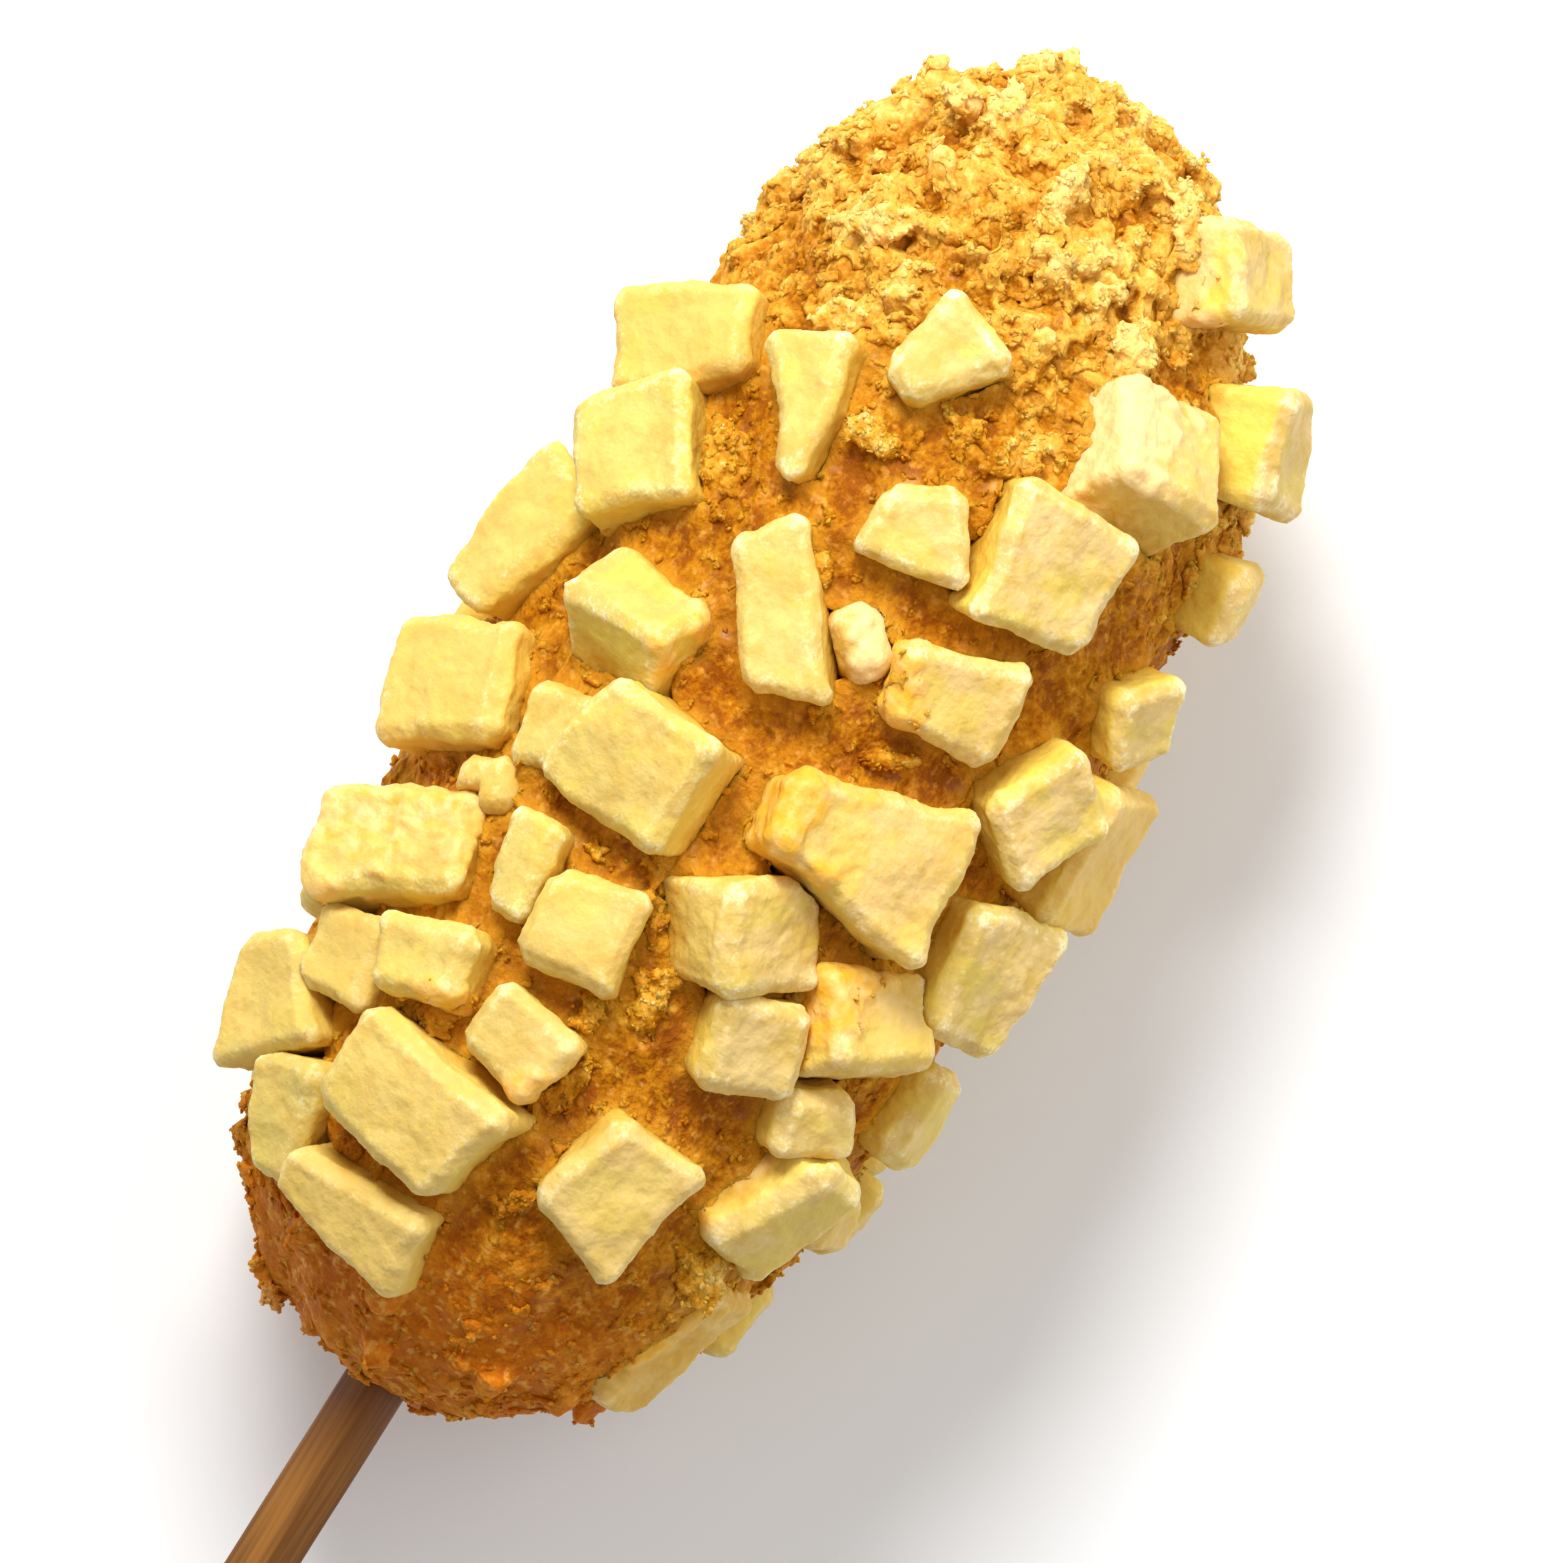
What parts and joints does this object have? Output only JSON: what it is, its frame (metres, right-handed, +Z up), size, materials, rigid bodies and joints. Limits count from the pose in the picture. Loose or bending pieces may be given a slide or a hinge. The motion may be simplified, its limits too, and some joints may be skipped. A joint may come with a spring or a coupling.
{
  "type": "potato corn dog",
  "caption": "Fried corn dog on a square wooden stick, its crumbed batter body studded all over with diced potato, lying on its side.",
  "frame": {"origin": "middle of the bounding box, at the floor it lies on", "axes": "+X along the body towards the bare tip, so the stick points to -X; +Z up; +Y to the side"},
  "size_m": [0.2288, 0.071, 0.069],
  "materials": {
    "crust": "rough fried breadcrumb",
    "potato": "soft, slightly oily",
    "wood": "raw sawn wood"
  },
  "bodies": {
    "root": {"stick": "wood", "crust": "crust", "potato_01": "potato", "potato_02": "potato", "potato_03": "potato", "potato_04": "potato", "potato_05": "potato", "potato_06": "potato", "potato_07": "potato", "potato_08": "potato", "potato_09": "potato", "potato_10": "potato", "potato_11": "potato", "potato_12": "potato", "potato_13": "potato", "potato_14": "potato", "potato_15": "potato", "potato_16": "potato", "potato_17": "potato", "potato_18": "potato", "potato_19": "potato", "potato_20": "potato", "potato_21": "potato", "potato_22": "potato", "potato_23": "potato", "potato_24": "potato", "potato_25": "potato", "potato_26": "potato", "potato_27": "potato", "potato_28": "potato", "potato_29": "potato", "potato_30": "potato", "potato_31": "potato", "potato_32": "potato", "potato_33": "potato", "potato_34": "potato", "potato_35": "potato", "potato_36": "potato", "potato_37": "potato", "potato_38": "potato", "potato_39": "potato", "potato_40": "potato", "potato_41": "potato", "potato_42": "potato", "potato_43": "potato", "potato_group_01": "potato", "potato_group_02": "potato", "potato_group_03": "potato", "potato_group_04": "potato", "potato_group_05": "potato", "potato_group_06": "potato", "potato_group_07": "potato", "potato_group_08": "potato", "potato_group_09": "potato", "potato_group_10": "potato", "potato_group_11": "potato", "potato_group_12": "potato", "potato_group_13": "potato", "potato_group_14": "potato", "potato_group_15": "potato"}
  },
  "joints": []
}
